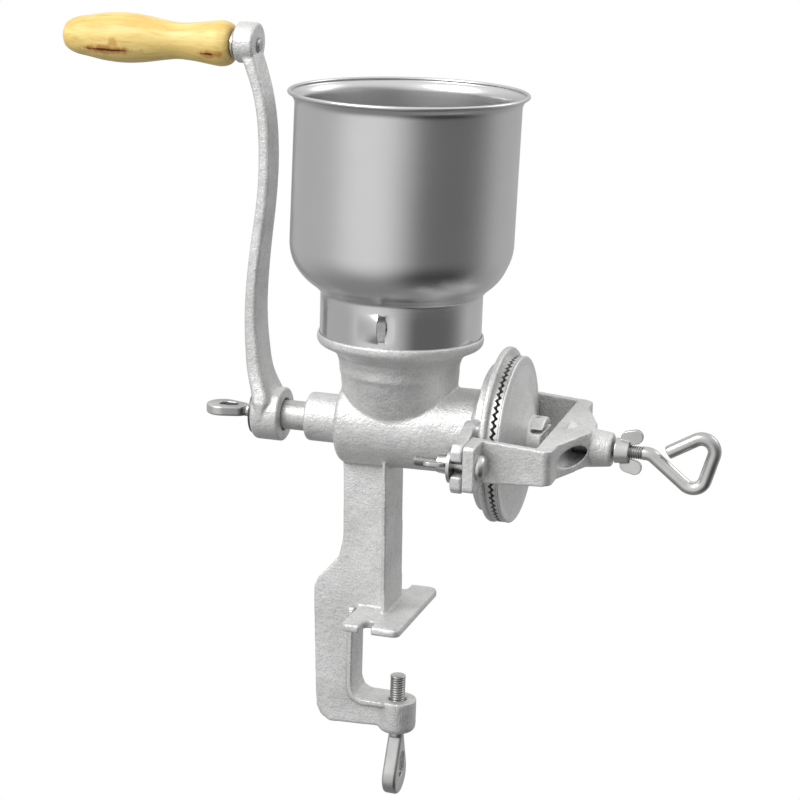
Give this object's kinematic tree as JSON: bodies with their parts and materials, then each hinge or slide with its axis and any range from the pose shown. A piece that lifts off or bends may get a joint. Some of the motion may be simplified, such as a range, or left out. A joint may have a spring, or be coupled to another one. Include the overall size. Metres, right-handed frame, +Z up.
{
  "type": "hand-cranked grain mill",
  "caption": "Table-clamp hand mill: steel hopper on a cast body, worm shaft with grinding plates, yoke with adjusting screw, crank with wooden grip.",
  "frame": {"origin": "under face of the clamp's jaw plate, where it rests on the table, straight above the clamp screw", "axes": "+X along the worm shaft from the crank to the adjusting screw, +Z up, Y = 0 is the middle plane"},
  "size_m": [0.424, 0.1595, 0.4874],
  "materials": {
    "casting": "tinned sand casting",
    "hopper_steel": "satin",
    "plate_iron": "as cast",
    "rotor_iron": "tinned, turned face",
    "zinc": "bright zinc",
    "ball_steel": "polished",
    "dark_steel": "dark",
    "grip_wood": "clear lacquer"
  },
  "bodies": {
    "frame": {"mill_body": "casting", "fixed_burr_plate": "plate_iron", "fixed_plate_rivets": "zinc", "yoke": "casting", "yoke_bolts": "zinc", "yoke_washers": "zinc"},
    "hopper": {"hopper": "hopper_steel"},
    "ball": {"thrust_ball": "ball_steel"},
    "shaft": {"auger": "plate_iron", "rotor": "rotor_iron", "rotating_burr_plate": "plate_iron", "rotor_plate_rivets": "zinc", "drive_pin": "zinc", "crank_arm": "casting", "crank_washer": "dark_steel", "handle_pin": "zinc", "handle_washer": "zinc"},
    "grip": {"grip": "grip_wood"},
    "crank_screw": {"crank_thumb_screw": "zinc"},
    "adjuster": {"adjusting_screw": "zinc"},
    "lock_nut": {"adjusting_lock_nut": "zinc"},
    "nut_near": {"yoke_nut_near": "zinc"},
    "nut_far": {"yoke_nut_far": "zinc"},
    "clamp_screw": {"clamp_screw": "zinc"}
  },
  "joints": [
    {"name": "hopper_lift", "type": "slide", "parent": "frame", "child": "hopper", "axis": [0, 0, 1], "range_m": [0, 0.12]},
    {"name": "burr_gap", "type": "slide", "parent": "frame", "child": "ball", "axis": [1, 0, 0], "range_m": [0, 0.003]},
    {"name": "adjust_turn", "type": "hinge", "parent": "ball", "child": "adjuster", "pos_m": [0.12, 0, 0.122], "axis": [1, 0, 0], "range_deg": [0, 766]},
    {"name": "crank_turn", "type": "hinge", "parent": "ball", "child": "shaft", "pos_m": [0, 0, 0.122], "axis": [1, 0, 0], "continuous": true},
    {"name": "grip_spin", "type": "hinge", "parent": "shaft", "child": "grip", "pos_m": [-0.17, 0, 0.3504], "axis": [1, 0, 0], "continuous": true},
    {"name": "crank_screw_turn", "type": "hinge", "parent": "shaft", "child": "crank_screw", "pos_m": [-0.1, 0, 0.122], "axis": [1, 0, 0], "continuous": true},
    {"name": "lock_nut_turn", "type": "hinge", "parent": "frame", "child": "lock_nut", "pos_m": [0.135, 0, 0.122], "axis": [1, 0, 0], "continuous": true},
    {"name": "near_nut_turn", "type": "hinge", "parent": "frame", "child": "nut_near", "pos_m": [0.04, -0.067, 0.12109], "axis": [1, 0, 0], "continuous": true},
    {"name": "far_nut_turn", "type": "hinge", "parent": "frame", "child": "nut_far", "pos_m": [0.04, 0.06693, 0.1253], "axis": [1, 0, 0], "continuous": true},
    {"name": "clamp_screw_travel", "type": "slide", "parent": "frame", "child": "clamp_screw", "axis": [0, 0, 1], "range_m": [-0.016, 0]}
  ],
  "couplings": [
    {"joint": "adjust_turn", "follows": "burr_gap", "rad_per_m": 4452.7}
  ]
}
